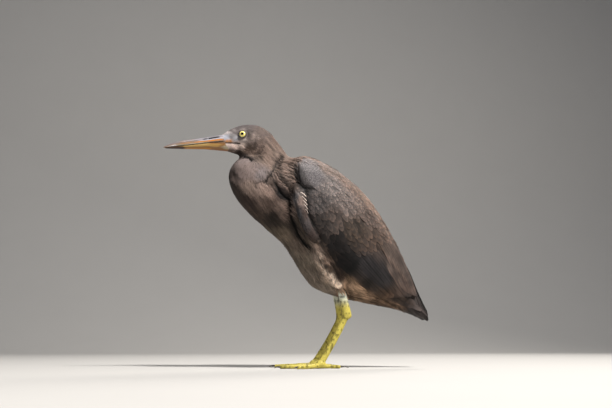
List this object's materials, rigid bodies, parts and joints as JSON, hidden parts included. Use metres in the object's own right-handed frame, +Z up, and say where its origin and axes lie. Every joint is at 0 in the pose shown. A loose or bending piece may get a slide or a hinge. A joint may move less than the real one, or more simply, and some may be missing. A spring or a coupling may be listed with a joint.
{
  "type": "reef heron model",
  "caption": "Life-size standing dark reef heron with its neck drawn in, a long dagger bill, folded wings and short stout legs.",
  "frame": {"origin": "on the floor, under the middle of the bird's length from the bill's tip to the wing tips, midway between its sides", "axes": "-X is the way the bird faces, +X runs to the tail and is along its longest extent; +Z up; the bird is symmetric about the XZ plane, with its left side towards -Y"},
  "size_m": [0.381, 0.1104, 0.3449],
  "materials": {
    "plumage": "soft overlapping grey-brown feathers, paler on the crown and nape, dark on the throat",
    "wing": "smooth slate-brown wing and tail feathers with darker flight feathers",
    "bill": "semi-gloss horn, yellow-brown with a dark ridge and tip",
    "eye": "wet glossy eye with a bright yellow iris and a black pupil",
    "leg": "dry scaly skin, pale above and yellow-green below",
    "claw": "dark horn"
  },
  "bodies": {
    "root": {"head": "plumage", "neck_upper": "plumage", "neck_bend": "plumage", "neck_base": "plumage", "trunk": "plumage", "thigh_left": "plumage", "thigh_right": "plumage", "wing_left": "wing", "wing_right": "wing", "wing_hand_left": "wing", "wing_hand_right": "wing", "tail": "wing", "bill_upper": "bill", "bill_lower": "bill", "eye_left": "eye", "eye_right": "eye", "shank_left": "leg", "shank_right": "leg", "tarsus_left": "leg", "tarsus_right": "leg", "toe_inner_left": "leg", "toe_inner_right": "leg", "toe_middle_left": "leg", "toe_middle_right": "leg", "toe_outer_left": "leg", "toe_outer_right": "leg", "toe_hind_left": "leg", "toe_hind_right": "leg", "claw_inner_left": "claw", "claw_inner_right": "claw", "claw_middle_left": "claw", "claw_middle_right": "claw", "claw_outer_left": "claw", "claw_outer_right": "claw", "claw_hind_left": "claw", "claw_hind_right": "claw"}
  },
  "joints": []
}
